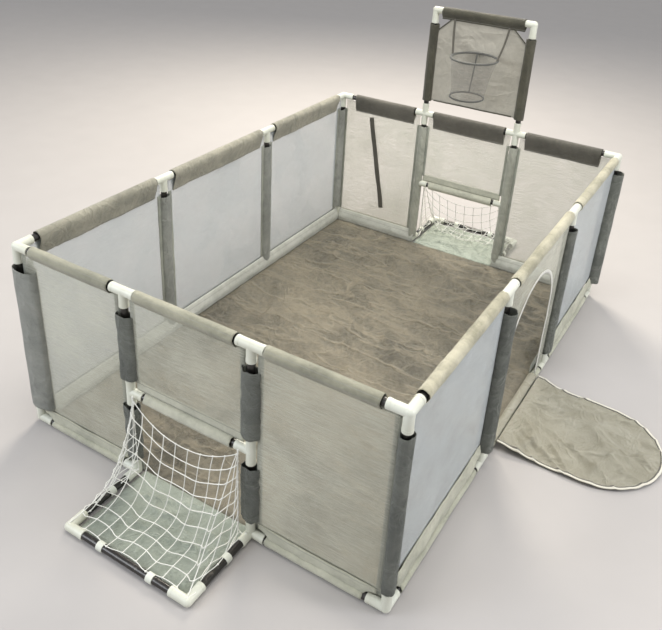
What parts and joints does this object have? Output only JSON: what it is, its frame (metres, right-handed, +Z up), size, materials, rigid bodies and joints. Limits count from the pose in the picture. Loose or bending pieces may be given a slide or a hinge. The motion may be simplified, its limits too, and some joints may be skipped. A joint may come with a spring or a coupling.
{
  "type": "playpen",
  "caption": "Free-standing fabric playpen on a plug-together tube frame, with mesh walls, netted goals, a hoop on a backboard and a zip door.",
  "frame": {"origin": "on the floor, at the middle of the mat's underside", "axes": "+Z up, +X towards the side with the door, +Y along the long side towards the end with the backboard"},
  "size_m": [1.7705, 2.4244, 1.1083],
  "materials": {
    "white_fittings": "smooth moulded",
    "white_clips": "moulded",
    "steel_tube": "dark grey, glossy",
    "grey_oxford": "plain weave, slightly coated",
    "grey_mesh": "fine open mesh",
    "mat_cloth": "thin coated cloth, creased",
    "dark_screen": "plain weave",
    "white_netting": "knotted cord",
    "hoop_trim": "bound edge over wire",
    "hoop_netting": "open mesh",
    "dark_webbing": "woven webbing",
    "zip_metal": "plated"
  },
  "bodies": {
    "frame": {"back_bottom_rails": "steel_tube", "back_crossbar": "steel_tube", "back_crossbar_tees": "white_fittings", "back_goal_floor": "mat_cloth", "back_goal_net": "white_netting", "back_goal_posts": "steel_tube", "back_goal_tubes": "steel_tube", "back_mesh": "grey_mesh", "back_net_clips": "white_clips", "back_top_crosses": "white_fittings", "back_top_rails": "steel_tube", "back_wall_cover": "grey_oxford", "backboard_elbows": "white_fittings", "backboard_screen": "dark_screen", "backboard_top_tube": "steel_tube", "backboard_uprights": "steel_tube", "bottom_corner_back_left": "white_fittings", "bottom_corner_back_right": "white_fittings", "bottom_corner_front_left": "white_fittings", "bottom_corner_front_right": "white_fittings", "corner_posts": "steel_tube", "door_panel": "grey_mesh", "floor_mat": "mat_cloth", "front_bottom_rails": "steel_tube", "front_crossbar": "steel_tube", "front_crossbar_tees": "white_fittings", "front_goal_floor": "mat_cloth", "front_goal_net": "white_netting", "front_goal_posts": "steel_tube", "front_goal_tubes": "steel_tube", "front_mesh": "grey_mesh", "front_net_clips": "white_clips", "front_top_rails": "steel_tube", "front_top_tees": "white_fittings", "front_wall_cover": "grey_oxford", "goal_elbows": "white_fittings", "goal_feet": "white_fittings", "left_bottom_rails": "steel_tube", "left_mesh": "grey_mesh", "left_top_rails": "steel_tube", "left_wall_cover": "grey_oxford", "right_bottom_rails": "steel_tube", "right_mesh": "grey_mesh", "right_top_rails": "steel_tube", "right_wall_cover": "grey_oxford", "side_bottom_tees": "white_fittings", "side_posts": "steel_tube", "side_top_tees": "white_fittings", "top_corner_back_left": "white_fittings", "top_corner_back_right": "white_fittings", "top_corner_front_left": "white_fittings", "top_corner_front_right": "white_fittings"},
    "door_flap": {"door_flap": "grey_oxford"},
    "hoop": {"hoop_ring": "hoop_trim", "hoop_lower_ring": "hoop_trim", "hoop_net": "hoop_netting", "hoop_straps": "hoop_trim"},
    "zip_slider": {"zip_slider": "zip_metal"},
    "zip_pull": {"zip_pull": "zip_metal"},
    "hanging_strap": {"hanging_strap": "dark_webbing"}
  },
  "joints": [
    {"name": "door_flap_fold", "type": "hinge", "parent": "frame", "child": "door_flap", "pos_m": [0.6482, 0, 0.0275], "axis": [0, -1, 0], "range_deg": [0, 93.2]},
    {"name": "hoop_swing", "type": "hinge", "parent": "frame", "child": "hoop", "pos_m": [0.02, 0.923, 1.06825], "axis": [-1, 0, 0], "range_deg": [0, 45]},
    {"name": "zip_slide", "type": "slide", "parent": "frame", "child": "zip_slider", "axis": [0, 0, 1], "range_m": [0, 0.22]},
    {"name": "zip_pull_turn", "type": "hinge", "parent": "zip_slider", "child": "zip_pull", "pos_m": [0.63875, -0.217, 0.0595], "axis": [0, -1, 0], "range_deg": [0, 90]},
    {"name": "strap_swing", "type": "hinge", "parent": "frame", "child": "hanging_strap", "pos_m": [-0.458, 0.926, 0.568], "axis": [0, 1, 0], "range_deg": [-12, 24]}
  ]
}
